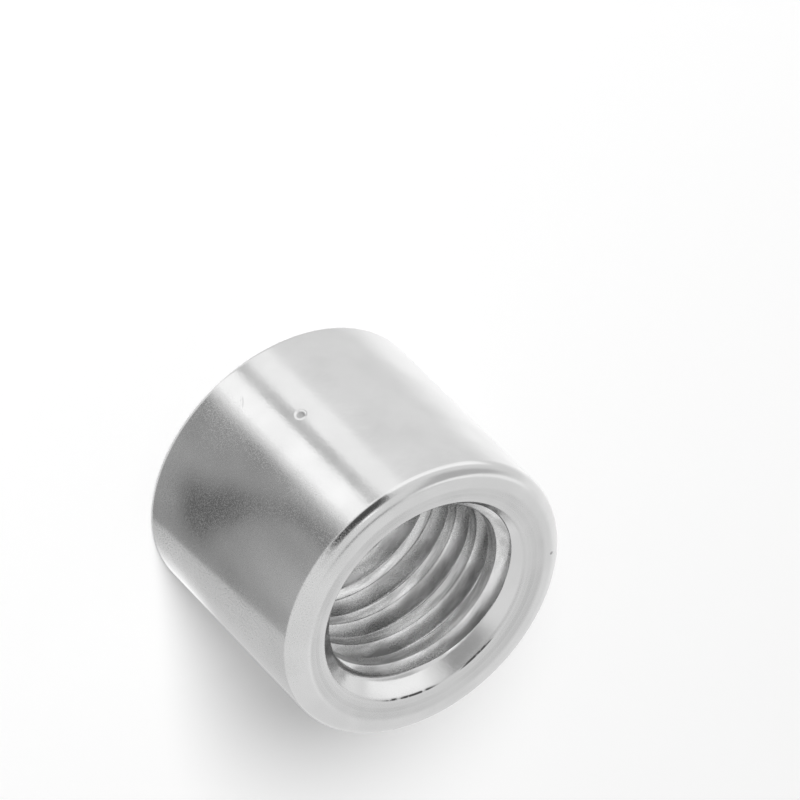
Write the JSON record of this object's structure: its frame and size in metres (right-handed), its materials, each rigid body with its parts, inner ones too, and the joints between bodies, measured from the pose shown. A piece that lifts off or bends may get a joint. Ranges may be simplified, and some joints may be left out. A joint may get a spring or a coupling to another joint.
{
  "type": "round coupling nut",
  "caption": "Round sleeve nut, tapped right through, with countersunk mouths; joins two threaded rods end to end.",
  "frame": {"origin": "centre of the back end, the flat one that it stands on", "axes": "+Z along the hole, towards the front end with the large rounding"},
  "size_m": [0.011, 0.011, 0.009],
  "materials": {
    "bright_nickel": "tumbled steel with bright nickel plating, polished barrel and slightly grainy thread"
  },
  "bodies": {
    "root": {"coupling_nut": "bright_nickel"}
  },
  "joints": []
}
